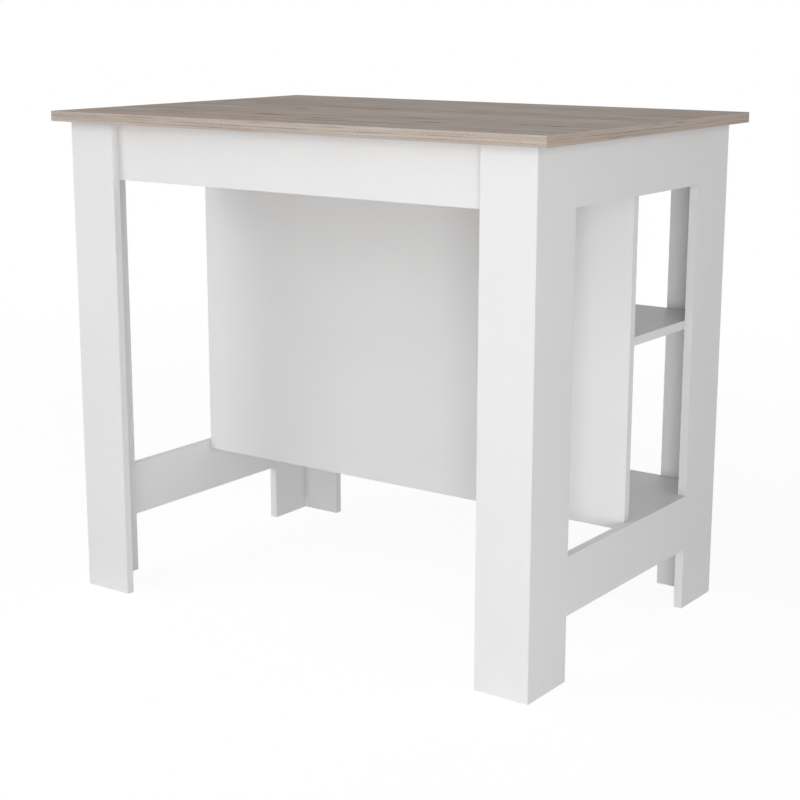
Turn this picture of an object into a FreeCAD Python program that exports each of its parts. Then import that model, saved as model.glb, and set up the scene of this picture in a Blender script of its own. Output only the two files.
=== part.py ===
import FreeCAD, Part
import os
import re
import Sketcher

# A counter-height kitchen island, flat-packed from faced board under a thicker worktop.
# Millimetres. X runs along the length, -Y faces the stools and +Y the shelves, +Z is up.
# The origin is on the floor, under the middle of the island.

SIZES = {
    # carcass
    "base_length": 966,
    "base_depth": 649,
    "frame_height": 867,
    "board": 15,
    "board_band": 0.5,
    "leg_width": 100,
    "apron_height": 100,
    "rail_height": 100,
    "rail_lift": 112,
    "divider_setback": 332,
    "shelf_clear": 302,
    # worktop
    "top_thickness": 18,
    "top_band": 1,
    "side_overhang": 27,
    "front_overhang": 22.5,
    # cam lock: a round housing let into a face, with a hollow for the bolt's head
    "cam_diameter": 15,
    "cam_skin": 2.5,
    "cam_setback": 34,
    "cam_cavity": 9,
    "cross_length": 8,
    "cross_width": 1.8,
    "cross_depth": 2,
    # cam bolt: thread, shank, neck and head on one axis
    "thread_diameter": 6,
    "thread_skin": 4,
    "shank_diameter": 7,
    "neck_diameter": 4,
    "head_diameter": 6.4,
    "head_length": 3,
    "head_play": 0.4,
    # wooden dowel
    "dowel_diameter": 8,
    "dowel_length": 30,
    "dowel_skin": 5,
    "dowel_chamfer": 1,
    "flute_diameter": 0.9,
    # wood screw with a pan head
    "screw_diameter": 3.5,
    "screw_length": 25,
    "screw_tip": 4,
    "pan_diameter": 7,
    "pan_height": 2.4,
    "pan_chamfer": 0.8,
    "pan_cross_length": 4,
    "pan_cross_width": 0.9,
    "pan_cross_depth": 1.4,
    # fits
    "fit_gap": 0.1,
    "bore_spare": 0.5,
    "overrun": 1,
}

# Places along an edge, as shares of that edge's length from its middle.
TOP_CAM_SHARES = (-0.25, 0.25)
TOP_DOWEL_SHARES = (-0.36, 0.36)
DIVIDER_TOP_DOWEL_SHARES = (-0.3, 0, 0.3)
SHELF_CAM_SHARES = (-0.25, 0.25)
SHELF_DOWEL_SHARES = (-0.42, 0, 0.42)
# Places across an apron or the divider's top end, as shares of the apron's height.
APRON_DOWEL_SHARES = (0.25, 0.75)
APRON_CAM_SHARE = 0.5
# Places across an end frame's back leg, as shares of the leg's width.
SHELF_END_CAM_SHARE = 0.25
SHELF_END_DOWEL_SHARE = 0.52

FLUTES = 8
FULL_TURN = 360
SLOT_SWEEP = 210
SIDES = {"left": -1, "right": 1}
FACES = {"front": -1, "back": 1}

# Faces and levels of the carcass, as formulas of the sizes.
END_OUTER = "base_length / 2"
END_INNER = "(base_length / 2 - board)"
END_MIDDLE = "(base_length / 2 - board / 2)"
LEG_OUTER = "base_depth / 2"
LEG_INNER = "(base_depth / 2 - board)"
APRON_INNER = "(base_depth / 2 - 2 * board)"
APRON_MIDDLE = "(base_depth / 2 - 1.5 * board)"
WINDOW_EDGE = "(base_depth / 2 - board - leg_width)"
WINDOW_TOP = "(frame_height - apron_height)"
RAIL_TOP = "(rail_lift + rail_height)"
DIVIDER_FRONT = "(divider_setback - base_depth / 2)"
DIVIDER_BACK = "(divider_setback + board - base_depth / 2)"
DIVIDER_MIDDLE = "(divider_setback + board / 2 - base_depth / 2)"
DIVIDER_FOOT = "(rail_lift + rail_height - board)"
MIDDLE_SHELF_TOP = "(rail_lift + rail_height + shelf_clear + board)"
TOP_END = "(base_length / 2 + side_overhang)"
TOP_FRONT = "(base_depth / 2 + front_overhang)"
TOP_LEVEL = "(frame_height + top_thickness)"

# Bores, each the size of what goes in it and a gap all round, and a little deeper.
CAM_HEIGHT = "(board - cam_skin - bore_spare)"
CAM_BORE = "cam_diameter + 2 * fit_gap"
CAM_BORE_DEPTH = "board - cam_skin"
THREAD_LENGTH = "(board - thread_skin)"
THREAD_BORE = "thread_diameter + 2 * fit_gap"
THREAD_BORE_DEPTH = "board - thread_skin + bore_spare"
SHANK_BORE = "shank_diameter + 2 * fit_gap"
DOWEL_SEAT = "(board - dowel_skin)"
DOWEL_BORE = "dowel_diameter + 2 * fit_gap"
DOWEL_SEAT_DEPTH = "board - dowel_skin + bore_spare"
DOWEL_BORE_DEPTH = "dowel_length - board + dowel_skin + bore_spare"
SCREW_BORE = "screw_diameter + 2 * fit_gap"
SCREW_REACH = "screw_length - board + bore_spare"
HEAD_ENTRY = "head_diameter + 2 * fit_gap"
CAVITY_HEIGHT = "(head_diameter + 2 * head_play)"
SLOT_HEIGHT = "(neck_diameter + 2 * fit_gap)"

# For a drawing plane square to an axis: its name, the sign of its normal, and its two axes.
PLANES = {"X": ("YZ_Plane", 1, (1, 2)), "Y": ("XZ_Plane", -1, (0, 2)), "Z": ("XY_Plane", 1, (0, 1))}
UNIT = {
    "X": FreeCAD.Vector(1, 0, 0),
    "Y": FreeCAD.Vector(0, 1, 0),
    "Z": FreeCAD.Vector(0, 0, 1),
}
ORIGIN = ("0", "0", "0")

doc = FreeCAD.newDocument("kitchen_island")
subparts = {}
fasteners = {}


def write_sizes():
    """Put every size in the sheet, with its name beside it."""
    sheet = doc.addObject("Spreadsheet::Sheet", "Sizes")
    for row, (name, value) in enumerate(SIZES.items(), start=1):
        sheet.set(f"A{row}", name)
        sheet.set(f"B{row}", str(value))
        sheet.setAlias(f"B{row}", name)
    doc.recompute()


def bind(item, prop, formula):
    """Tie a property to a formula in which each word is a size's name."""
    item.setExpression(prop, re.sub(r"[a-z]\w*", r"Sizes.\g<0>", formula))


def bind_place(item, place):
    for axis, formula in zip("xyz", place):
        bind(item, f"Placement.Base.{axis}", formula)


def mirrored(sign, near, far):
    """The lower and higher end of a span on one side of the middle plane."""
    if sign > 0:
        return near, far
    return f"-1 * {far}", f"-1 * {near}"


def opposite(way):
    return ("-" if way[0] == "+" else "+") + way[1]


def toward(sign, axis):
    """The way that leads from a place on one side to the middle plane."""
    return ("-" if sign > 0 else "+") + axis


def shifted(place, way, distance):
    moved = list(place)
    index = "XYZ".index(way[1])
    moved[index] = f"{place[index]} {way[0]} {distance}"
    return tuple(moved)


class Board:
    """A body whose own frame stands at the lower corner of the space that it fills."""

    def __init__(self, name, low, high, thin):
        self.name = name
        self.low = low
        self.high = high
        self.thin = thin
        self.body = doc.addObject("PartDesign::Body", name)
        self.body.Label = name
        bind_place(self.body, low)

    def span(self, axis):
        index = "XYZ".index(axis)
        return f"{self.high[index]} - ({self.low[index]})"

    def sketch(self, axis, offset="0"):
        """An empty drawing on the plane square to an axis, offset along that axis."""
        role, normal, _ = PLANES[axis]
        drawing = self.body.newObject("Sketcher::SketchObject", f"{self.name}_drawing")
        plane = next(item for item in self.body.Origin.OriginFeatures if item.Role == role)
        drawing.AttachmentSupport = (plane, "")
        drawing.MapMode = "FlatFace"
        bind(drawing, "AttachmentOffset.Base.z", f"{normal} * ({offset})")
        return drawing

    def feature(self, kind, drawing):
        made = self.body.newObject(f"PartDesign::{kind}", f"{self.name}_{kind}")
        made.Profile = drawing
        return made

    def pad(self, loops):
        """Give the drawn outline the board's thickness."""
        drawing = self.sketch(self.thin)
        for loop in loops:
            draw_loop(drawing, loop)
        made = self.feature("Pad", drawing)
        made.Reversed = PLANES[self.thin][1] < 0
        bind(made, "Length", self.span(self.thin))

    def pocket(self, drawing, way, depth):
        made = self.feature("Pocket", drawing)
        made.Reversed = (way[0] == "+") == (PLANES[way[1]][1] > 0)
        bind(made, "Length", depth)

    def drill(self, way, places, diameter, depth):
        """Bore round holes of one depth, from the plane that their places share."""
        index = "XYZ".index(way[1])
        across = PLANES[way[1]][2]
        drawing = self.sketch(way[1], f"{places[0][index]} - ({self.low[index]})")
        for place in places:
            centre = [f"{place[k]} - ({self.low[k]})" for k in across]
            draw_circle(drawing, centre, diameter)
        self.pocket(drawing, way, depth)


def tie_point(drawing, geometry, point, place):
    """Hold a point of a drawing at two formulas from the drawing's origin."""
    for kind, formula in zip(("DistanceX", "DistanceY"), place):
        index = drawing.addConstraint(Sketcher.Constraint(kind, -1, 1, geometry, point, 0))
        bind(drawing, f"Constraints[{index}]", formula)


def draw_circle(drawing, centre, diameter):
    circle = drawing.addGeometry(Part.Circle(FreeCAD.Vector(), UNIT["Z"], 1))
    index = drawing.addConstraint(Sketcher.Constraint("Diameter", circle, 1))
    bind(drawing, f"Constraints[{index}]", diameter)
    tie_point(drawing, circle, 3, centre)


def draw_loop(drawing, points):
    """A closed outline of straight lines through formula points."""
    first = drawing.GeometryCount
    count = len(points)
    for k in range(count):
        start = FreeCAD.Vector(k, 0, 0)
        end = FreeCAD.Vector(k + 1, 1, 0)
        drawing.addGeometry(Part.LineSegment(start, end))
    for k in range(count):
        following = first + (k + 1) % count
        drawing.addConstraint(Sketcher.Constraint("Coincident", first + k, 2, following, 1))
        tie_point(drawing, first + k, 1, points[k])


def rectangle(u_low, v_low, u_high, v_high):
    return [(u_low, v_low), (u_high, v_low), (u_high, v_high), (u_low, v_high)]


def plain_board(name, low, high, thin):
    """A rectangular board or strip between two corners, thin along one axis."""
    board = Board(name, low, high, thin)
    across = [axis for axis in "XYZ" if axis != thin]
    board.pad([rectangle("0", "0", board.span(across[0]), board.span(across[1]))])
    return board


def keep(board):
    subparts[board.name] = (board.body, 1)
    return board


def keep_group(name, items):
    group = doc.addObject("Part::Compound", name)
    group.Label = name
    group.Links = items
    subparts[name] = (group, len(items))


def keep_bands(name, strips):
    keep_group(name, [strip.body for strip in strips])


def make_worktop():
    """The top board, and the wood-grain bands glued to its four edges."""
    core_end = f"({TOP_END} - top_band)"
    core_front = f"({TOP_FRONT} - top_band)"
    low = (f"-1 * {core_end}", f"-1 * {core_front}", "frame_height")
    high = (core_end, core_front, TOP_LEVEL)
    board = keep(plain_board("worktop_board", low, high, "Z"))
    for face, sign in FACES.items():
        near, far = mirrored(sign, core_front, TOP_FRONT)
        low = (f"-1 * {TOP_END}", near, "frame_height")
        high = (TOP_END, far, TOP_LEVEL)
        keep(plain_board(f"worktop_{face}_edge_band", low, high, "Y"))
    for side, sign in SIDES.items():
        near, far = mirrored(sign, core_end, TOP_END)
        low = (near, f"-1 * {core_front}", "frame_height")
        high = (far, core_front, TOP_LEVEL)
        keep(plain_board(f"worktop_{side}_edge_band", low, high, "X"))
    return board


def make_end_frame(side, sign):
    """One board with a window between its rails and a notch between its feet."""
    name = f"{side}_end_frame"
    near, far = mirrored(sign, END_INNER, END_OUTER)
    low = (near, f"-1 * {LEG_INNER}", "0")
    high = (far, LEG_INNER, "frame_height")
    board = Board(name, low, high, "X")
    depth = board.span("Y")
    leg = "leg_width - board_band"
    far_leg = f"{depth} - leg_width + board_band"
    notch = "rail_lift + board_band"
    outline = [("0", "0"), (leg, "0"), (leg, notch), (far_leg, notch), (far_leg, "0")]
    outline += [(depth, "0"), (depth, "frame_height"), ("0", "frame_height")]
    window = rectangle(leg, f"{RAIL_TOP} - board_band", far_leg, f"{WINDOW_TOP} + board_band")
    board.pad([outline, window])
    strips = []
    band_edge = f"({WINDOW_EDGE} + board_band)"
    for level, z_low, z_high in (
        ("sill", f"{RAIL_TOP} - board_band", RAIL_TOP),
        ("head", WINDOW_TOP, f"{WINDOW_TOP} + board_band"),
    ):
        corner = (near, f"-1 * {band_edge}", z_low)
        strips.append(plain_board(f"{name}_{level}_band", corner, (far, band_edge, z_high), "Z"))
    corner = (near, f"-1 * {WINDOW_EDGE}", "rail_lift")
    strips.append(plain_board(f"{name}_notch_band", corner, (far, WINDOW_EDGE, notch), "Z"))
    for face, face_sign in FACES.items():
        y_low, y_high = mirrored(face_sign, WINDOW_EDGE, band_edge)
        corner = (near, y_low, RAIL_TOP)
        strips.append(plain_board(f"{name}_{face}_jamb_band", corner, (far, y_high, WINDOW_TOP), "Y"))
        corner = (near, y_low, "0")
        strips.append(plain_board(f"{name}_{face}_foot_band", corner, (far, y_high, notch), "Y"))
    keep_bands(f"{name}_edge_bands", strips)
    return keep(board)


def make_leg_board(face, face_sign, side, side_sign):
    """A tall narrow board that covers the end frame's edge, banded on both long edges."""
    name = f"{face}_{side}_leg_board"
    y_low, y_high = mirrored(face_sign, LEG_INNER, LEG_OUTER)
    inner = f"({END_OUTER} - leg_width)"
    core_inner = f"({END_OUTER} - leg_width + board_band)"
    core_outer = f"({END_OUTER} - board_band)"
    x_low, x_high = mirrored(side_sign, core_inner, core_outer)
    board = keep(plain_board(name, (x_low, y_low, "0"), (x_high, y_high, "frame_height"), "Y"))
    strips = []
    for edge, near, far in (("inner", inner, core_inner), ("outer", core_outer, END_OUTER)):
        x_low, x_high = mirrored(side_sign, near, far)
        low = (x_low, y_low, "0")
        high = (x_high, y_high, "frame_height")
        strips.append(plain_board(f"{name}_{edge}_band", low, high, "X"))
    keep_bands(f"{name}_edge_bands", strips)
    return board


def make_apron(face, sign):
    """A rail under the worktop, behind the leg boards, banded along its lower edge."""
    name = f"{face}_apron"
    y_low, y_high = mirrored(sign, APRON_INNER, LEG_INNER)
    core_foot = f"{WINDOW_TOP} + board_band"
    left = f"-1 * {END_INNER}"
    board = plain_board(name, (left, y_low, core_foot), (END_INNER, y_high, "frame_height"), "Y")
    keep(plain_board(f"{name}_edge_band", (left, y_low, WINDOW_TOP), (END_INNER, y_high, core_foot), "Z"))
    return keep(board)


def make_divider():
    """The panel between knee space and shelves, banded on its two ends and its lower edge."""
    core_end = f"({END_INNER} - board_band)"
    core_foot = f"{DIVIDER_FOOT} + board_band"
    low = (f"-1 * {core_end}", DIVIDER_FRONT, core_foot)
    board = keep(plain_board("divider_panel", low, (core_end, DIVIDER_BACK, "frame_height"), "Y"))
    ends = {}
    for side, sign in SIDES.items():
        near, far = mirrored(sign, core_end, END_INNER)
        low = (near, DIVIDER_FRONT, DIVIDER_FOOT)
        high = (far, DIVIDER_BACK, "frame_height")
        ends[side] = plain_board(f"divider_{side}_band", low, high, "X")
    low = (f"-1 * {core_end}", DIVIDER_FRONT, DIVIDER_FOOT)
    foot = plain_board("divider_foot_band", low, (core_end, DIVIDER_BACK, core_foot), "Z")
    keep_bands("divider_edge_bands", [*ends.values(), foot])
    return board, ends


def make_shelf(name, top):
    """A shelf from the divider to the back leg boards, banded on its ends and back edge."""
    core_end = f"({END_INNER} - board_band)"
    core_back = f"({LEG_INNER} - board_band)"
    under = f"{top} - board"
    low = (f"-1 * {core_end}", DIVIDER_BACK, under)
    board = keep(plain_board(name, low, (core_end, core_back, top), "Z"))
    ends = {}
    for side, sign in SIDES.items():
        near, far = mirrored(sign, core_end, END_INNER)
        ends[side] = plain_board(
            f"{name}_{side}_band", (near, DIVIDER_BACK, under), (far, core_back, top), "X"
        )
    low = (f"-1 * {END_INNER}", core_back, under)
    back = plain_board(f"{name}_back_band", low, (END_INNER, LEG_INNER, top), "Y")
    keep_bands(f"{name}_edge_bands", [*ends.values(), back])
    return board, ends


def revolved(name, profile):
    """A turned piece along X, from half of its outline."""
    piece = Board(name, ORIGIN, ORIGIN, "X")
    drawing = piece.sketch("Y")
    draw_loop(drawing, profile)
    made = piece.feature("Revolution", drawing)
    made.ReferenceAxis = (drawing, ["H_Axis"])
    made.Angle = FULL_TURN
    return piece


def cut_cross(piece, way, face, length, width, depth):
    """A cross recess for a driver, as two slots sunk into a face."""
    for wide, tall in ((length, width), (width, length)):
        drawing = piece.sketch(way[1], face)
        half_wide = f"{wide} / 2"
        half_tall = f"{tall} / 2"
        slot = rectangle(f"-1 * {half_wide}", f"-1 * {half_tall}", half_wide, half_tall)
        draw_loop(drawing, slot)
        piece.pocket(drawing, way, depth)


def make_cam_lock():
    """A housing about Z: its face is up, and the bolt's head comes in along X to its middle."""
    face = "board / 2"
    low = ("0", "0", f"board / 2 - {CAM_HEIGHT}")
    piece = Board("cam_lock", low, ("0", "0", face), "Z")
    drawing = piece.sketch("Z")
    draw_circle(drawing, ("0", "0"), "cam_diameter")
    made = piece.feature("Pad", drawing)
    bind(made, "Length", CAM_HEIGHT)
    axis_level = f"({CAM_HEIGHT} - board / 2)"
    wall = "cam_diameter / 2 + overrun"
    for reach, height, sweep in (
        ("cam_cavity / 2", CAVITY_HEIGHT, FULL_TURN),
        (wall, SLOT_HEIGHT, SLOT_SWEEP),
    ):
        drawing = piece.sketch("Y")
        half = f"{height} / 2"
        draw_loop(drawing, rectangle("0", f"{axis_level} - {half}", reach, f"{axis_level} + {half}"))
        made = piece.feature("Groove", drawing)
        made.ReferenceAxis = (drawing, ["V_Axis"])
        made.Angle = sweep
    piece.drill("+X", [ORIGIN], HEAD_ENTRY, wall)
    cut_cross(piece, "-Z", CAM_HEIGHT, "cross_length", "cross_width", "cross_depth")
    return piece.body


def make_cam_bolt():
    """Thread to the left of the meeting plane; shank, neck and head to the right."""
    thread = "thread_diameter / 2"
    shank = "shank_diameter / 2"
    neck = "neck_diameter / 2"
    head = "head_diameter / 2"
    shank_end = "cam_setback - cam_diameter / 2 - fit_gap"
    head_start = "cam_setback - head_length / 2"
    head_end = "cam_setback + head_length / 2"
    profile = [(f"-1 * {THREAD_LENGTH}", "0"), (f"-1 * {THREAD_LENGTH}", thread), ("0", thread)]
    profile += [("0", shank), (shank_end, shank), (shank_end, neck), (head_start, neck)]
    profile += [(head_start, head), (head_end, head), (head_end, "0")]
    return revolved("cam_bolt", profile).body


def make_dowel():
    """A fluted dowel, short of the meeting plane by its seat and long beyond it."""
    radius = "dowel_diameter / 2"
    rim = "dowel_diameter / 2 - dowel_chamfer"
    start = f"-1 * {DOWEL_SEAT}"
    end = f"dowel_length - {DOWEL_SEAT}"
    profile = [(start, "0"), (start, rim), (f"{start} + dowel_chamfer", radius)]
    profile += [(f"{end} - dowel_chamfer", radius), (end, rim), (end, "0")]
    piece = revolved("dowel", profile)
    drawing = piece.sketch("X", f"{start} - overrun")
    draw_circle(drawing, (radius, "0"), "flute_diameter")
    piece.pocket(drawing, "+X", "dowel_length + 2 * overrun")
    flute = piece.body.Tip
    pattern = piece.body.newObject("PartDesign::PolarPattern", "dowel_flutes")
    pattern.Originals = [flute]
    pattern.Axis = (drawing, ["N_Axis"])
    pattern.Angle = FULL_TURN
    pattern.Occurrences = FLUTES
    piece.body.Tip = pattern
    return piece.body


def make_screw():
    """A pan-head wood screw that points along X, with the underside of its head at the origin."""
    shank = "screw_diameter / 2"
    pan = "pan_diameter / 2"
    profile = [("-1 * pan_height", "0"), ("-1 * pan_height", f"{pan} - pan_chamfer")]
    profile += [("pan_chamfer - pan_height", pan), ("0", pan), ("0", shank)]
    profile += [("screw_length - screw_tip", shank), ("screw_length", "0")]
    piece = revolved("wood_screw", profile)
    cut_cross(piece, "+X", "-1 * pan_height", "pan_cross_length", "pan_cross_width", "pan_cross_depth")
    return piece.body


def turned(into, face):
    """The rotation that lays a fastener's X along one way and its Z along another."""
    x_axis = UNIT[into[1]] * float(into[0] + "1")
    z_axis = UNIT[face[1]] * float(face[0] + "1")
    return FreeCAD.Rotation(x_axis, z_axis.cross(x_axis), z_axis, "XZY")


def note(group, master, places, into, face):
    """Remember where each fastener of a group goes."""
    listed = fasteners.setdefault(group, [])
    for place in places:
        listed.append((master, place, turned(into, face)))


def join_by_cams(group, receiver, joined, places, into, face):
    """Cam joints: bolts screwed into the receiver, and cams in a face of the joined board."""
    receiver.drill(opposite(into), places, THREAD_BORE, THREAD_BORE_DEPTH)
    for board in joined:
        board.drill(into, places, SHANK_BORE, "cam_setback")
    centres = [shifted(place, into, "cam_setback") for place in places]
    mouths = [shifted(centre, face, "board / 2") for centre in centres]
    joined[0].drill(opposite(face), mouths, CAM_BORE, CAM_BORE_DEPTH)
    note(f"{group}_cam_bolts", "bolt", places, into, face)
    note(f"{group}_cam_locks", "cam", centres, into, face)


def join_by_dowels(group, receiver, joined, places, into, face):
    """Dowel joints: seated in the receiver's face, and long in the joined board's edge."""
    receiver.drill(opposite(into), places, DOWEL_BORE, DOWEL_SEAT_DEPTH)
    for board in joined:
        board.drill(into, places, DOWEL_BORE, DOWEL_BORE_DEPTH)
    note(f"{group}_dowels", "dowel", places, into, face)


def join_leg_board(leg_board, face_sign, end_frame, side_sign):
    x = f"{side_sign} * {END_MIDDLE}"
    y = f"{face_sign} * {LEG_INNER}"
    into = toward(face_sign, "Y")
    face = toward(side_sign, "X")
    rail_middle = "rail_lift + rail_height / 2"
    below_window_top = f"{WINDOW_TOP} - apron_height / 2"
    cams = [(x, y, rail_middle), (x, y, below_window_top)]
    foot_middle = "rail_lift / 2"
    window_middle = f"({RAIL_TOP} + {WINDOW_TOP}) / 2"
    dowels = [(x, y, foot_middle), (x, y, window_middle)]
    join_by_cams("leg_board", leg_board, [end_frame], cams, into, face)
    join_by_dowels("leg_board", leg_board, [end_frame], dowels, into, face)


def join_upper_end(group, end_frame, side_sign, joined, y, face):
    """An apron's or the divider's upper end, held to an end frame's top rail."""
    x = f"{side_sign} * {END_INNER}"
    into = toward(side_sign, "X")
    cams = [(x, y, f"{WINDOW_TOP} + {APRON_CAM_SHARE} * apron_height")]
    dowels = [(x, y, f"{WINDOW_TOP} + {share} * apron_height") for share in APRON_DOWEL_SHARES]
    join_by_cams(group, end_frame, joined, cams, into, face)
    join_by_dowels(group, end_frame, joined, dowels, into, face)


def screw_apron(apron, leg_board, face_sign, side_sign):
    """Screws from the apron's inner face, in the middle of its overlap with the leg board."""
    x = f"{side_sign} * ({END_OUTER} - (leg_width + board) / 2)"
    way = opposite(toward(face_sign, "Y"))
    heights = [f"{WINDOW_TOP} + {share} * apron_height" for share in APRON_DOWEL_SHARES]
    entries = [(x, f"{face_sign} * {APRON_INNER}", z) for z in heights]
    meetings = [(x, f"{face_sign} * {LEG_INNER}", z) for z in heights]
    apron.drill(way, entries, SCREW_BORE, "board")
    leg_board.drill(way, meetings, SCREW_BORE, SCREW_REACH)
    note("apron_screws", "screw", entries, way, "+Z")


def join_worktop(worktop, end_frames, aprons, divider):
    level = "frame_height"
    for side, sign in SIDES.items():
        x = f"{sign} * {END_MIDDLE}"
        cams = [(x, f"{share} * base_depth", level) for share in TOP_CAM_SHARES]
        dowels = [(x, f"{share} * base_depth", level) for share in TOP_DOWEL_SHARES]
        face = toward(sign, "X")
        join_by_cams("worktop", worktop, [end_frames[side]], cams, "-Z", face)
        join_by_dowels("worktop", worktop, [end_frames[side]], dowels, "-Z", face)
    for side, sign in FACES.items():
        y = f"{sign} * {APRON_MIDDLE}"
        cams = [(f"{share} * base_length", y, level) for share in TOP_CAM_SHARES]
        dowels = [(f"{share} * base_length", y, level) for share in TOP_DOWEL_SHARES]
        face = toward(sign, "Y")
        join_by_cams("worktop", worktop, [aprons[side]], cams, "-Z", face)
        join_by_dowels("worktop", worktop, [aprons[side]], dowels, "-Z", face)
    dowels = [(f"{share} * base_length", DIVIDER_MIDDLE, level) for share in DIVIDER_TOP_DOWEL_SHARES]
    join_by_dowels("worktop", worktop, [divider], dowels, "-Z", "+Y")


def join_shelf(shelf, bands, top, divider, end_frames, rail_places):
    """A shelf held to the divider and to both end frames, with its cams underneath."""
    z = f"{top} - board / 2"
    cams = [(f"{share} * base_length", DIVIDER_BACK, z) for share in SHELF_CAM_SHARES]
    dowels = [(f"{share} * base_length", DIVIDER_BACK, z) for share in SHELF_DOWEL_SHARES]
    join_by_cams("shelf_to_divider", divider, [shelf], cams, "+Y", "-Z")
    join_by_dowels("shelf_to_divider", divider, [shelf], dowels, "+Y", "-Z")
    for side, sign in SIDES.items():
        x = f"{sign} * {END_INNER}"
        leg_place = f"{WINDOW_EDGE} + {SHELF_END_CAM_SHARE} * leg_width"
        cams = [(x, y, z) for y in [leg_place, *rail_places]]
        dowels = [(x, f"{WINDOW_EDGE} + {SHELF_END_DOWEL_SHARE} * leg_width", z)]
        joined = [shelf, bands[side]]
        into = toward(sign, "X")
        join_by_cams("shelf_end", end_frames[side], joined, cams, into, "-Z")
        join_by_dowels("shelf_end", end_frames[side], joined, dowels, into, "-Z")


def place_fasteners():
    """Lay a linked copy of the right fastener at every place that was noted."""
    masters = {
        "cam": make_cam_lock(),
        "bolt": make_cam_bolt(),
        "dowel": make_dowel(),
        "screw": make_screw(),
    }
    for group, listed in fasteners.items():
        copies = []
        for master, place, rotation in listed:
            copy = doc.addObject("App::Link", f"{group}_copy")
            copy.LinkedObject = masters[master]
            copy.LinkTransform = True
            copy.Placement = FreeCAD.Placement(FreeCAD.Vector(), rotation)
            bind_place(copy, place)
            copies.append(copy)
        keep_group(group, copies)


def build():
    write_sizes()
    worktop = make_worktop()
    end_frames = {side: make_end_frame(side, sign) for side, sign in SIDES.items()}
    aprons = {face: make_apron(face, sign) for face, sign in FACES.items()}
    divider, divider_bands = make_divider()
    middle_shelf, middle_bands = make_shelf("middle_shelf", MIDDLE_SHELF_TOP)
    bottom_shelf, bottom_bands = make_shelf("bottom_shelf", RAIL_TOP)
    for side, side_sign in SIDES.items():
        for face, face_sign in FACES.items():
            leg_board = make_leg_board(face, face_sign, side, side_sign)
            join_leg_board(leg_board, face_sign, end_frames[side], side_sign)
            screw_apron(aprons[face], leg_board, face_sign, side_sign)
            y = f"{face_sign} * {APRON_MIDDLE}"
            inward = toward(face_sign, "Y")
            join_upper_end("apron", end_frames[side], side_sign, [aprons[face]], y, inward)
        joined = [divider, divider_bands[side]]
        join_upper_end("divider", end_frames[side], side_sign, joined, DIVIDER_MIDDLE, "+Y")
    join_worktop(worktop, end_frames, aprons, divider)
    join_shelf(middle_shelf, middle_bands, MIDDLE_SHELF_TOP, divider, end_frames, [])
    rail_place = f"({DIVIDER_BACK} + {WINDOW_EDGE}) / 2"
    join_shelf(bottom_shelf, bottom_bands, RAIL_TOP, divider, end_frames, [rail_place])
    place_fasteners()
    doc.recompute()


def check():
    """Stop if any object failed, a cut removed nothing or a piece is not whole."""
    for item in doc.Objects:
        if {"Invalid", "Error"} & set(item.State):
            raise RuntimeError(f"{item.Label} failed: {item.State}")
        if item.TypeId in ("PartDesign::Pocket", "PartDesign::Groove"):
            if item.Shape.Volume >= item.BaseFeature.Shape.Volume:
                raise RuntimeError(f"{item.Label} cuts nothing")
    for name, (item, count) in subparts.items():
        shape = item.Shape
        if shape.isNull() or not shape.isValid():
            raise RuntimeError(f"{name} has no valid shape")
        if len(shape.Solids) != count:
            raise RuntimeError(f"{name} has {len(shape.Solids)} solids, not {count}")


def export():
    os.makedirs("parts", exist_ok=True)
    for name, (item, count) in subparts.items():
        item.Shape.exportStep(f"parts/{name}.step")
    print(len(subparts), "nodes,", sum(count for _, count in subparts.values()), "solids")


build()
check()
export()
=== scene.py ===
import math

import bpy
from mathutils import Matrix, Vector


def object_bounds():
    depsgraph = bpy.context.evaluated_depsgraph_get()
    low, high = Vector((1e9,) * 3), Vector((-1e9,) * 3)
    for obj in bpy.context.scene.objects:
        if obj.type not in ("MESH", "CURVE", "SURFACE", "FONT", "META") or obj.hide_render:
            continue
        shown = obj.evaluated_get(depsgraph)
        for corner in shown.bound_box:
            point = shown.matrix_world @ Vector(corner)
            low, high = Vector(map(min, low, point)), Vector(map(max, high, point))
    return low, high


# The looks of a counter-height kitchen island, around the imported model.
# Metres. X runs along the length, -Y faces the stools and +Y the shelves, +Z is up.

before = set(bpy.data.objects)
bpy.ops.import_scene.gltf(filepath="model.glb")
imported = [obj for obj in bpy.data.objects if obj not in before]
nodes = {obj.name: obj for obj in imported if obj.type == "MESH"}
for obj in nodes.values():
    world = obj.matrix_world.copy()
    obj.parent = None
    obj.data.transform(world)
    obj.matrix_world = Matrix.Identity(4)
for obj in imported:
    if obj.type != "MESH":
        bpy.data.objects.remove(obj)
cad_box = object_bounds()
MM = 0.001
WHITE = (1, 1, 1, 1)

# The turn about X, in degrees, at which a camera or a lamp looks level.
LEVEL = 90

# Camera: where it stands, where it looks in degrees, its lens in millimetres, and its shift.
CAMERA_PLACE = (1.7404, -2.4297, 1.0612)
CAMERA_TURN = 36.005
CAMERA_TILT = -12.524
CAMERA_LENS = 75.33
CAMERA_SHIFT = (0.01696, -0.02376)

# Light: the even light of the room, and lamps at one distance. Each lamp has the way to it in degrees,
# its size, and its level, the brightness of a white card held square to it.
ROOM_LEVEL = 0.328
LAMP_DISTANCE = 4.5
LAMPS = {
    "low": {"turn": 35, "height": 1.5, "size": 1.3, "level": 0.284},
    "high": {"turn": -45, "height": 40, "size": 3.0, "level": 0.196},
    "left": {"turn": -30, "height": 20, "size": 2.0, "level": 0.079},
    "right": {"turn": 45, "height": 8, "size": 3.0, "level": 0.189},
    "back": {"turn": 180, "height": 0.5, "size": 1.3, "level": 0.16},
}

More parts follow.
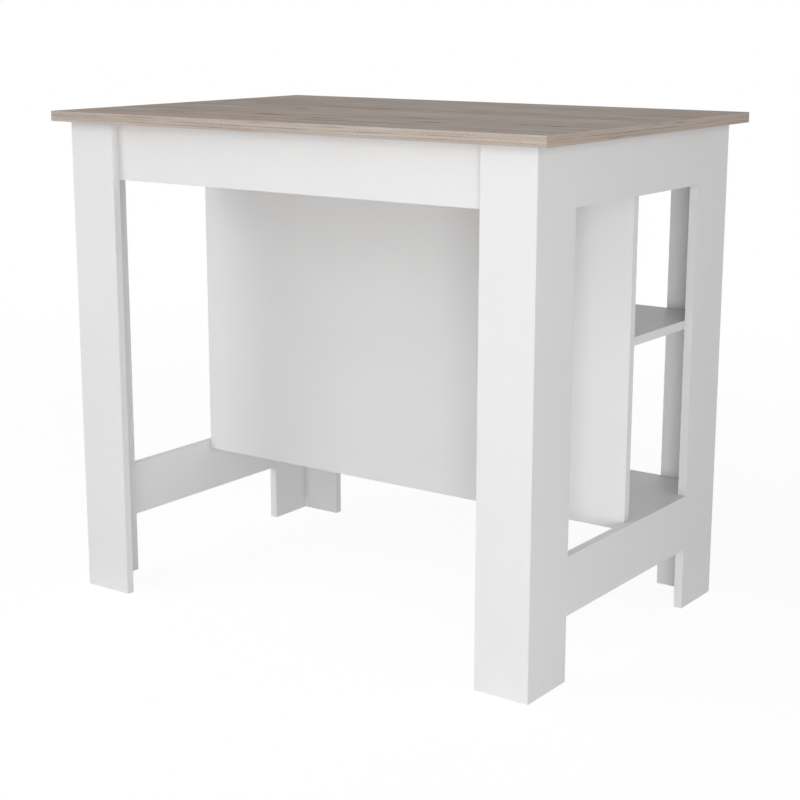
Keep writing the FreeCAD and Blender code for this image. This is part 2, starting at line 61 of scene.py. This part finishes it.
# Floor: how far it reaches, its colour for the light that it gives back, its brightness and colour
# for the camera, and the distances between which it fades to white.
FLOOR_REACH = 30
FLOOR_COLOUR = (0.92, 0.92, 0.92, 1)
FLOOR_GLOW = 0.9
FLOOR_TINT = (0.16, 0.16, 0.16, 1)
FLOOR_FADE = (1.0, 3.5)

# Edges: how far they are eased, in how many steps and from which angle in degrees. Points of the packed
# mesh that lie within the weld gap are one point.
BOARD_ROUND = 0.07 * MM
BAND_ROUND = 0.10 * MM
WORKTOP_BAND_ROUND = 0.25 * MM
ROUND_STEPS = 2
SHARP_ANGLE = 50
WELD_GAP = 0.001 * MM

# Kinds of noise, the middle of every noise, and the part of its range that steers a roughness.
SMOOTH = {"detail": 2.0, "roughness": 0.5}
SOFT = {"detail": 3.0, "roughness": 0.5}
CRISP = {"detail": 3.0, "roughness": 0.6}
BROAD = {"detail": 1.0, "roughness": 0.6}
NOISE_MIDDLE = 0.5
NOISE_SPAN = (0.25, 0.75)

# In the finishes below, a rate is how often a pattern repeats per metre, a gloss is the level of specular
# light, and a relief is the depth of the surface's bumps.

# Painted shade: the colour of white surfaces is darkened in corners and seams, this far and this much,
# but not at the feet, so the painted shade sets in between two heights.
CORNER_REACH = 17 * MM
PAINTED_CORNER_SHADE = 0.35
CORNER_START = (8 * MM, 32 * MM)
CORNER_SAMPLES = 8

# White facing and white edging. A normal that points less than the limit along the board's thickness is on
# a cut edge or in a bore. The facing's bumps are a share of the chipboard's.
WHITE_TONES = ((0.3, (0.824, 0.824, 0.825)), (0.7, (0.842, 0.842, 0.841)))
WHITE_GLOSS = 0.4
FACING = {"cloud_rate": 6, "pearl_rate": 950, "roughness": (0.40, 0.52), "relief_share": 0.08}
FACING_LIMIT = 0.5
EDGING = {"cloud_rate": 9, "stipple_rate": 1600, "roughness": (0.36, 0.48), "relief": 0.015 * MM}

# Chipboard: its rates through the board and along it, and small chips that are finer and have a share.
CHIP_TONES = (
    (0.0, (0.16, 0.09, 0.045)),
    (0.35, (0.36, 0.235, 0.13)),
    (0.7, (0.52, 0.37, 0.22)),
    (1.0, (0.66, 0.50, 0.33)),
)
CHIPS = {
    "through": 1400, "along": 480, "finer": 3, "fine_share": 0.4,
    "roughness": 0.9, "relief": 0.25 * MM,
}

# Fasteners.
ZINC = {
    "tones": ((0.3, (0.36, 0.36, 0.37)), (0.7, (0.50, 0.50, 0.51))),
    "cloud_rate": 180, "grain_rate": 1400, "roughness": (0.37, 0.53), "relief": 0.05 * MM,
}
STEEL = {
    "tones": ((0.3, (0.52, 0.52, 0.50)), (0.7, (0.66, 0.66, 0.65))),
    "cloud_rate": 180, "grain_rate": 900, "roughness": (0.22, 0.38), "relief": 0.02 * MM,
}
BEECH = {
    "tones": ((0.3, (0.40, 0.25, 0.135)), (0.5, (0.60, 0.42, 0.255)), (0.75, (0.70, 0.52, 0.34))),
    "along": 60, "across": 900, "span": (0.3, 0.7), "roughness": (0.75, 0.6), "relief": 0.08 * MM,
}

# Dowels lie along the length, apart from these.
DOWEL_AXES = {"leg_board": "Y", "shelf_to_divider": "Y", "worktop": "Z"}

# Oak decor: tones from the dark of a pore to the light between the grain, of the top and of its edges.
TOP_TONES = (
    (0.0, (0.240, 0.192, 0.155)),
    (0.3, (0.405, 0.339, 0.286)),
    (0.5, (0.500, 0.430, 0.379)),
    (0.75, (0.576, 0.508, 0.460)),
    (1.0, (0.645, 0.586, 0.542)),
)
EDGE_TONES = (
    (0.0, (0.235, 0.194, 0.165)),
    (0.3, (0.400, 0.340, 0.295)),
    (0.5, (0.500, 0.430, 0.379)),
    (0.75, (0.580, 0.507, 0.453)),
    (1.0, (0.655, 0.585, 0.530)),
)
OAK_GLOSS = 0.15
OAK_ROUGHNESS = (0.74, 0.62)
OAK_RELIEF = 0.03 * MM

# The parts of a noise's range that make lines smoother, open pores, and break up marks.
LINE_SPAN = (0.2, 0.8)
PORE_SPAN = (0.58, 0.70)
GAP_SPAN = (0.3, 0.7)

# Rates of the oak's layers along and across the grain, and how much each layer shades the oak.
# Warmth is the strength of colour, and the layer named warm makes it swing.
SHADING_LAYERS = ("tone", "streak", "line", "mottle")
TOP_GRAIN = {
    "tones": TOP_TONES, "middle": 0.51,
    "warmth": 1.03, "warm": (1.4, 34), "warm_share": 1.7,
    "drift": (1.6, 5), "wander": 40 * MM,
    "tone": (0.9, 9), "tone_share": 0.5,
    "streak": (3.2, 46), "streak_share": 1.1,
    "line": (13, 210), "line_share": 0.9,
    "mottle": (90, 420), "mottle_share": 0.4,
    "pore": (38, 1500), "pore_share": 0.12,
    "gap": (24, 70), "gap_share": 0.7,
}
LONG_EDGE_GRAIN = {
    "tones": EDGE_TONES, "middle": 0.525,
    "warmth": 1.0, "warm": (2.2, 120), "warm_share": 0.6,
    "drift": (2.5, 20), "wander": 4 * MM,
    "tone": (0.9, 60), "tone_share": 0.3,
    "streak": (3.2, 210), "streak_share": 0.7,
    "line": (13, 520), "line_share": 0.5,
    "mottle": (280, 560), "mottle_share": 0.9,
    "pore": (38, 1500), "pore_share": 0.12,
    "gap": (14, 120), "gap_share": 0.4,
}
# The short edges use the same oak with a lighter middle and stronger colour: painted light on the ends of
# the top.
SHORT_EDGE_GRAIN = {**LONG_EDGE_GRAIN, "middle": 0.60, "warmth": 1.17}

# Marks in the oak, in millimetres: place along and across the grain, half length, half width, depth.
# A mark with a depth below 0 is a light one.
TOP_MARKS_AND_PAINTED_SHADE = (
    # Painted shade: a broad dark patch over the left end of the top.
    (-500, 60, 450, 420, 0.14),
    # A dark strip along the back edge.
    (0, 345, 1500, 12, 0.16),
    (0, 60, 620, 45, 0.12),
    (170, -33, 430, 32, -0.16),
    (-100, -268, 480, 32, 0.10),
    (-140, -197, 75, 23, 0.48),
    (12, -228, 62, 18, 0.50),
    (135, -131, 55, 16, 0.40),
    (212, -209, 48, 14, 0.50),
    (370, -167, 34, 12, 0.46),
    (422, -173, 38, 12, 0.52),
    (430, 58, 80, 22, 0.30),
    (-90, 47, 62, 16, 0.28),
    (-202, -20, 46, 15, 0.40),
    (-331, -220, 62, 16, 0.42),
)
LONG_EDGE_MARKS = (
    (100, 876.2, 1300, 1.6, 0.27),
    (-100, 871.2, 1300, 1.7, 0.25),
    (120, 881.8, 50, 1.6, 0.42),
    (-25, 882.4, 42, 1.5, 0.40),
    (-330, 880.2, 150, 1.5, 0.26),
    (300, 879.2, 160, 1.2, 0.18),
)
SHORT_EDGE_MARKS = (
    (-100, 876.0, 900, 1.7, 0.27),
    (0, 871.2, 900, 1.6, 0.22),
    (83, 881.8, 34, 1.6, 0.40),
    (-5, 882.5, 30, 1.5, 0.36),
    (-147, 869.6, 40, 1.4, 0.30),
)


class Graph:
    """A node tree, with a short call for each kind of node that the looks use."""

    # A mix node's sockets go by number, because their names repeat: both inputs and the output.
    MIX_SOCKETS = {"RGBA": (6, 7, 2), "FLOAT": (2, 3, 0)}

    def __init__(self, tree):
        self.tree = tree
        self.tree.nodes.clear()

    def feed(self, socket, value):
        if isinstance(value, bpy.types.NodeSocket):
            self.tree.links.new(value, socket)
        else:
            socket.default_value = value

    def add(self, kind, inputs, **settings):
        made = self.tree.nodes.new(kind)
        for name, value in settings.items():
            setattr(made, name, value)
        for name, value in inputs.items():
            self.feed(made.inputs[name], value)
        return made

    def math(self, operation, first, second=0.0, clamped=False):
        values = {0: first, 1: second}
        return self.add("ShaderNodeMath", values, operation=operation, use_clamp=clamped).outputs[0]

    def axes(self, output="Object"):
        """The object's own coordinates, or its normal, by axis."""
        source = self.add("ShaderNodeTexCoord", {}).outputs[output]
        split = self.add("ShaderNodeSeparateXYZ", {"Vector": source})
        return {axis: split.outputs[axis] for axis in "XYZ"}

    def stretched(self, parts, rates):
        """A vector whose parts repeat at their own rates."""
        scaled = {k: self.math("MULTIPLY", part, rate) for k, (part, rate) in enumerate(zip(parts, rates))}
        return self.add("ShaderNodeCombineXYZ", scaled).outputs[0]

    def even(self, place, rate):
        """A vector that repeats at one rate along all axes."""
        return self.stretched(place.values(), [rate] * len(place))

    def noise(self, vector, detail, roughness):
        inputs = {"Vector": vector, "Scale": 1.0, "Detail": detail, "Roughness": roughness}
        return self.add("ShaderNodeTexNoise", inputs).outputs["Fac"]

    def cells(self, vector):
        return self.add("ShaderNodeTexVoronoi", {"Vector": vector, "Scale": 1.0}).outputs["Color"]

    def eased(self, value, low, high, to_low=0.0, to_high=1.0):
        """A smooth step from one value to another."""
        inputs = {"Value": value, 1: low, 2: high, 3: to_low, 4: to_high}
        return self.add("ShaderNodeMapRange", inputs, interpolation_type="SMOOTHSTEP").outputs[0]

    def swing(self, noise, share):
        """A noise about 0, by its share."""
        return self.math("MULTIPLY", self.math("SUBTRACT", noise, NOISE_MIDDLE), share)

    def distance(self, vector):
        """How long a vector is."""
        return self.add("ShaderNodeVectorMath", {0: vector}, operation="LENGTH").outputs["Value"]

    def ramp(self, value, stops):
        made = self.add("ShaderNodeValToRGB", {"Fac": value})
        elements = made.color_ramp.elements
        while len(elements) < len(stops):
            elements.new(1.0)
        for element, (position, colour) in zip(elements, stops):
            element.position = position
            element.color = (*colour, 1)
        return made.outputs["Color"]

    def mix(self, kind, share, first, second):
        first_socket, second_socket, output = self.MIX_SOCKETS[kind]
        inputs = {0: share, first_socket: first, second_socket: second}
        return self.add("ShaderNodeMix", inputs, data_type=kind).outputs[output]

    def saturated(self, colour, amount):
        inputs = {"Color": colour, "Saturation": amount}
        return self.add("ShaderNodeHueSaturation", inputs).outputs["Color"]

    def with_painted_corner_shade(self, colour, height):
        """The colour with painted shade, darker where another surface stands close by."""
        inputs = {"Color": colour, "Distance": CORNER_REACH}
        dark = self.add("ShaderNodeAmbientOcclusion", inputs, samples=CORNER_SAMPLES).outputs["Color"]
        share = self.eased(height, *CORNER_START, 0.0, PAINTED_CORNER_SHADE)
        return self.mix("RGBA", share, colour, dark)

    def bump(self, height, depth):
        """A normal raised by a height of 0 to 1, which stands for a depth in metres."""
        return self.add("ShaderNodeBump", {"Height": height, "Strength": 1.0, "Distance": depth}).outputs[0]

    def seen(self):
        """1 where the camera looks straight, in a reflection or through glass."""
        rays = self.add("ShaderNodeLightPath", {}).outputs
        direct = self.math("ADD", rays["Is Camera Ray"], rays["Is Glossy Ray"])
        return self.math("ADD", direct, rays["Is Transmission Ray"], clamped=True)

    def diffuse(self, colour):
        return self.add("ShaderNodeBsdfDiffuse", {"Color": colour}).outputs[0]

    def emission(self, strength):
        return self.add("ShaderNodeEmission", {"Strength": strength}).outputs[0]

    def background(self, strength):
        return self.add("ShaderNodeBackground", {"Strength": strength, "Color": WHITE}).outputs[0]

    def mix_shaders(self, share, first, second):
        return self.add("ShaderNodeMixShader", {0: share, 1: first, 2: second}).outputs[0]

    def principled(self, **inputs):
        named = {name.replace("_", " "): value for name, value in inputs.items()}
        return self.add("ShaderNodeBsdfPrincipled", named).outputs[0]

    def surface(self, shader, kind="Material"):
        self.add(f"ShaderNodeOutput{kind}", {"Surface": shader})


def new_material(name):
    material = bpy.data.materials.new(name)
    material.use_nodes = True
    return material, Graph(material.node_tree)


def chipboard(graph, place, thin):
    """Pressed chips, flatter across the board: their colour and their height."""
    rates = [CHIPS["through"] if axis == thin else CHIPS["along"] for axis in "XYZ"]
    chips = graph.cells(graph.stretched(place.values(), rates))
    fine = graph.cells(graph.stretched(place.values(), [CHIPS["finer"] * rate for rate in rates]))
    shade = graph.mix("FLOAT", CHIPS["fine_share"], chips, fine)
    return graph.ramp(shade, CHIP_TONES), shade


def make_white_board(thin):
    """White facing on the two broad faces, and bare chipboard on cut edges and in bores."""
    material, graph = new_material(f"white_faced_board_{thin.lower()}")
    place = graph.axes()
    normal = graph.axes("Normal")
    bare = graph.math("LESS_THAN", graph.math("ABSOLUTE", normal[thin]), FACING_LIMIT)
    cloud = graph.noise(graph.even(place, FACING["cloud_rate"]), **SOFT)
    pearl = graph.noise(graph.even(place, FACING["pearl_rate"]), **CRISP)
    chip_colour, chip_height = chipboard(graph, place, thin)
    # The white gets painted shade in corners and seams.
    white = graph.with_painted_corner_shade(graph.ramp(cloud, WHITE_TONES), place["Z"])
    sheen = graph.eased(pearl, *NOISE_SPAN, *FACING["roughness"])
    pearl_height = graph.math("MULTIPLY", pearl, FACING["relief_share"])
    shader = graph.principled(
        Base_Color=graph.mix("RGBA", bare, white, chip_colour),
        Roughness=graph.mix("FLOAT", bare, sheen, CHIPS["roughness"]),
        Specular_IOR_Level=WHITE_GLOSS,
        Normal=graph.bump(graph.mix("FLOAT", bare, pearl_height, chip_height), CHIPS["relief"]),
    )
    graph.surface(shader)
    return material


def make_white_band():
    """White edging: a little smoother than the facing, with a fine stipple."""
    material, graph = new_material("white_edging")
    place = graph.axes()
    cloud = graph.noise(graph.even(place, EDGING["cloud_rate"]), **SOFT)
    stipple = graph.noise(graph.even(place, EDGING["stipple_rate"]), **SMOOTH)
    shader = graph.principled(
        # The edging gets painted shade in corners and seams.
        Base_Color=graph.with_painted_corner_shade(graph.ramp(cloud, WHITE_TONES), place["Z"]),
        Roughness=graph.eased(stipple, *NOISE_SPAN, *EDGING["roughness"]),
        Specular_IOR_Level=WHITE_GLOSS,
        Normal=graph.bump(stipple, EDGING["relief"]),
    )
    graph.surface(shader)
    return material


def marks_and_painted_shade(graph, along, across, marks):
    """How deep the marks and the painted shade lie at each place: each is a soft ellipse, drawn out along
    the grain.
    """
    total = 0.0
    for middle_along, middle_across, half_length, half_width, depth in marks:
        run = graph.math("DIVIDE", graph.math("SUBTRACT", along, middle_along * MM), half_length * MM)
        rise = graph.math("DIVIDE", graph.math("SUBTRACT", across, middle_across * MM), half_width * MM)
        offset = graph.add("ShaderNodeCombineXYZ", {0: run, 1: rise}).outputs[0]
        total = graph.math("ADD", graph.eased(graph.distance(offset), 0.0, 1.0, depth, 0.0), total)
    return total


def make_oak(name, along, across, grain, marks):
    """Printed oak: broad tones, streaks, fine lines, pores and marks, all drawn out along the grain; the
    top's marks include painted shade.
    """
    material, graph = new_material(name)
    place = graph.axes()

    def layer(key, sideways, kind):
        return graph.noise(graph.stretched((place[along], sideways), grain[key]), **kind)

    drift = layer("drift", place[across], BROAD)
    wavy = graph.math("ADD", place[across], graph.swing(drift, grain["wander"]))
    layers = {key: layer(key, wavy, CRISP) for key in (*SHADING_LAYERS, "pore", "gap", "warm")}
    shade = grain["middle"]
    for key in SHADING_LAYERS:
        shade = graph.math("ADD", graph.swing(layers[key], grain[f"{key}_share"]), shade)
    pores = graph.eased(layers["pore"], *PORE_SPAN)
    shade = graph.math("SUBTRACT", shade, graph.math("MULTIPLY", pores, grain["pore_share"]))
    gap = graph.eased(layers["gap"], *GAP_SPAN, -1.0, 1.0)
    broken = graph.math("ADD", graph.math("MULTIPLY", gap, grain["gap_share"]), 1.0)
    marked = graph.math("MULTIPLY", marks_and_painted_shade(graph, place[along], wavy, marks), broken)
    shade = graph.math("SUBTRACT", shade, marked)
    warmth = graph.math("ADD", graph.swing(layers["warm"], grain["warm_share"]), grain["warmth"])
    shader = graph.principled(
        Base_Color=graph.saturated(graph.ramp(shade, grain["tones"]), warmth),
        Roughness=graph.eased(layers["line"], *LINE_SPAN, *OAK_ROUGHNESS),
        Specular_IOR_Level=OAK_GLOSS,
        Normal=graph.bump(graph.math("SUBTRACT", layers["line"], pores), OAK_RELIEF),
    )
    graph.surface(shader)
    return material


def make_metal(name, metal):
    """Bare or plated metal with a clouded tone and a fine grain."""
    material, graph = new_material(name)
    place = graph.axes()
    cloud = graph.noise(graph.even(place, metal["cloud_rate"]), **SOFT)
    grain = graph.noise(graph.even(place, metal["grain_rate"]), **CRISP)
    shader = graph.principled(
        Base_Color=graph.ramp(cloud, metal["tones"]),
        Metallic=1.0,
        Roughness=graph.eased(grain, *NOISE_SPAN, *metal["roughness"]),
        Normal=graph.bump(grain, metal["relief"]),
    )
    graph.surface(shader)
    return material


def make_beech(along):
    """Raw beech with short flecks along the dowel."""
    material, graph = new_material(f"raw_beech_{along.lower()}")
    place = graph.axes()
    rates = [BEECH["along"] if axis == along else BEECH["across"] for axis in "XYZ"]
    fleck = graph.noise(graph.stretched(place.values(), rates), **CRISP)
    shader = graph.principled(
        Base_Color=graph.ramp(fleck, BEECH["tones"]),
        Roughness=graph.eased(fleck, *BEECH["span"], *BEECH["roughness"]),
        Normal=graph.bump(fleck, BEECH["relief"]),
    )
    graph.surface(shader)
    return material


def dress(name, material, round_off=0.0):
    """Give a node its finish, and ease its sharp edges by a small bevel."""
    node = nodes[name]
    node.data.materials.clear()
    node.data.materials.append(material)
    if round_off:
        weld = node.modifiers.new("weld", "WELD")
        weld.merge_threshold = WELD_GAP
        bevel = node.modifiers.new("eased_edges", "BEVEL")
        bevel.width = round_off
        bevel.segments = ROUND_STEPS
        bevel.limit_method = "ANGLE"
        bevel.angle_limit = math.radians(SHARP_ANGLE)


def dress_carcass():
    boards = {axis: make_white_board(axis) for axis in "XYZ"}
    band = make_white_band()
    for name in nodes:
        if name.endswith("_end_frame"):
            dress(name, boards["X"], BOARD_ROUND)
        elif name.endswith(("_leg_board", "_apron", "_panel")):
            dress(name, boards["Y"], BOARD_ROUND)
        elif name.endswith("_shelf"):
            dress(name, boards["Z"], BOARD_ROUND)
        elif name.endswith(("_edge_band", "_edge_bands")) and not name.startswith("worktop"):
            dress(name, band, BAND_ROUND)


def dress_worktop():
    dress("worktop_board", make_oak("oak_top", "X", "Y", TOP_GRAIN, TOP_MARKS_AND_PAINTED_SHADE), BOARD_ROUND)
    long_edge = make_oak("oak_long_edge", "X", "Z", LONG_EDGE_GRAIN, LONG_EDGE_MARKS)
    short_edge = make_oak("oak_short_edge", "Y", "Z", SHORT_EDGE_GRAIN, SHORT_EDGE_MARKS)
    for side in ("front", "back"):
        dress(f"worktop_{side}_edge_band", long_edge, WORKTOP_BAND_ROUND)
    for side in ("left", "right"):
        dress(f"worktop_{side}_edge_band", short_edge, WORKTOP_BAND_ROUND)


def dress_fasteners():
    zinc = make_metal("cast_zinc", ZINC)
    steel = make_metal("plated_steel", STEEL)
    beech = {axis: make_beech(axis) for axis in "XYZ"}
    for name in nodes:
        if name.endswith("_cam_locks"):
            dress(name, zinc)
        elif name.endswith(("_cam_bolts", "_screws")):
            dress(name, steel)
        elif name.endswith("_dowels"):
            dress(name, beech[DOWEL_AXES.get(name.removesuffix("_dowels"), "X")])


def lay_floor():
    """A pale floor: white to the camera but for the island's soft shadow."""
    mesh = bpy.data.meshes.new("floor")
    corners = [(x * FLOOR_REACH, y * FLOOR_REACH, 0) for x, y in ((-1, -1), (1, -1), (1, 1), (-1, 1))]
    mesh.from_pydata(corners, [], [(0, 1, 2, 3)])
    floor = bpy.data.objects.new("floor", mesh)
    bpy.context.scene.collection.objects.link(floor)
    material, graph = new_material("pale_floor")
    near = graph.add("ShaderNodeAddShader", {0: graph.diffuse(FLOOR_TINT), 1: graph.emission(FLOOR_GLOW)})
    place = graph.add("ShaderNodeTexCoord", {}).outputs["Object"]
    fade = graph.eased(graph.distance(place), *FLOOR_FADE)
    shown = graph.mix_shaders(fade, near.outputs[0], graph.emission(1.0))
    graph.surface(graph.mix_shaders(graph.seen(), graph.diffuse(FLOOR_COLOUR), shown))
    mesh.materials.append(material)


def light_room():
    """Even light from all around, which the camera sees as white."""
    world = bpy.data.worlds.new("room")
    world.use_nodes = True
    bpy.context.scene.world = world
    graph = Graph(world.node_tree)
    shown = graph.background(1.0)
    graph.surface(graph.mix_shaders(graph.seen(), graph.background(ROOM_LEVEL), shown), "World")


def hang_lamps():
    """Square lamps around the island, all turned to its middle."""
    low, high = cad_box
    middle = (low + high) / 2
    for name, lamp in LAMPS.items():
        light = bpy.data.lights.new(name, "AREA")
        light.size = lamp["size"]
        light.energy = lamp["level"] * (math.pi * LAMP_DISTANCE) ** 2
        item = bpy.data.objects.new(name, light)
        bpy.context.scene.collection.objects.link(item)
        item.rotation_euler = (math.radians(LEVEL - lamp["height"]), 0, math.radians(lamp["turn"]))
        back = item.rotation_euler.to_matrix().col[2]
        item.location = middle + back * LAMP_DISTANCE
        item.visible_camera = False


def set_camera():
    data = bpy.data.cameras.new("camera")
    data.lens = CAMERA_LENS
    data.shift_x, data.shift_y = CAMERA_SHIFT
    camera = bpy.data.objects.new("camera", data)
    bpy.context.scene.collection.objects.link(camera)
    camera.location = CAMERA_PLACE
    camera.rotation_euler = (math.radians(LEVEL + CAMERA_TILT), 0, math.radians(CAMERA_TURN))
    bpy.context.scene.camera = camera


set_camera()
dress_carcass()
dress_worktop()
dress_fasteners()
lay_floor()
light_room()
hang_lamps()
bpy.context.scene.view_settings.view_transform = "Standard"
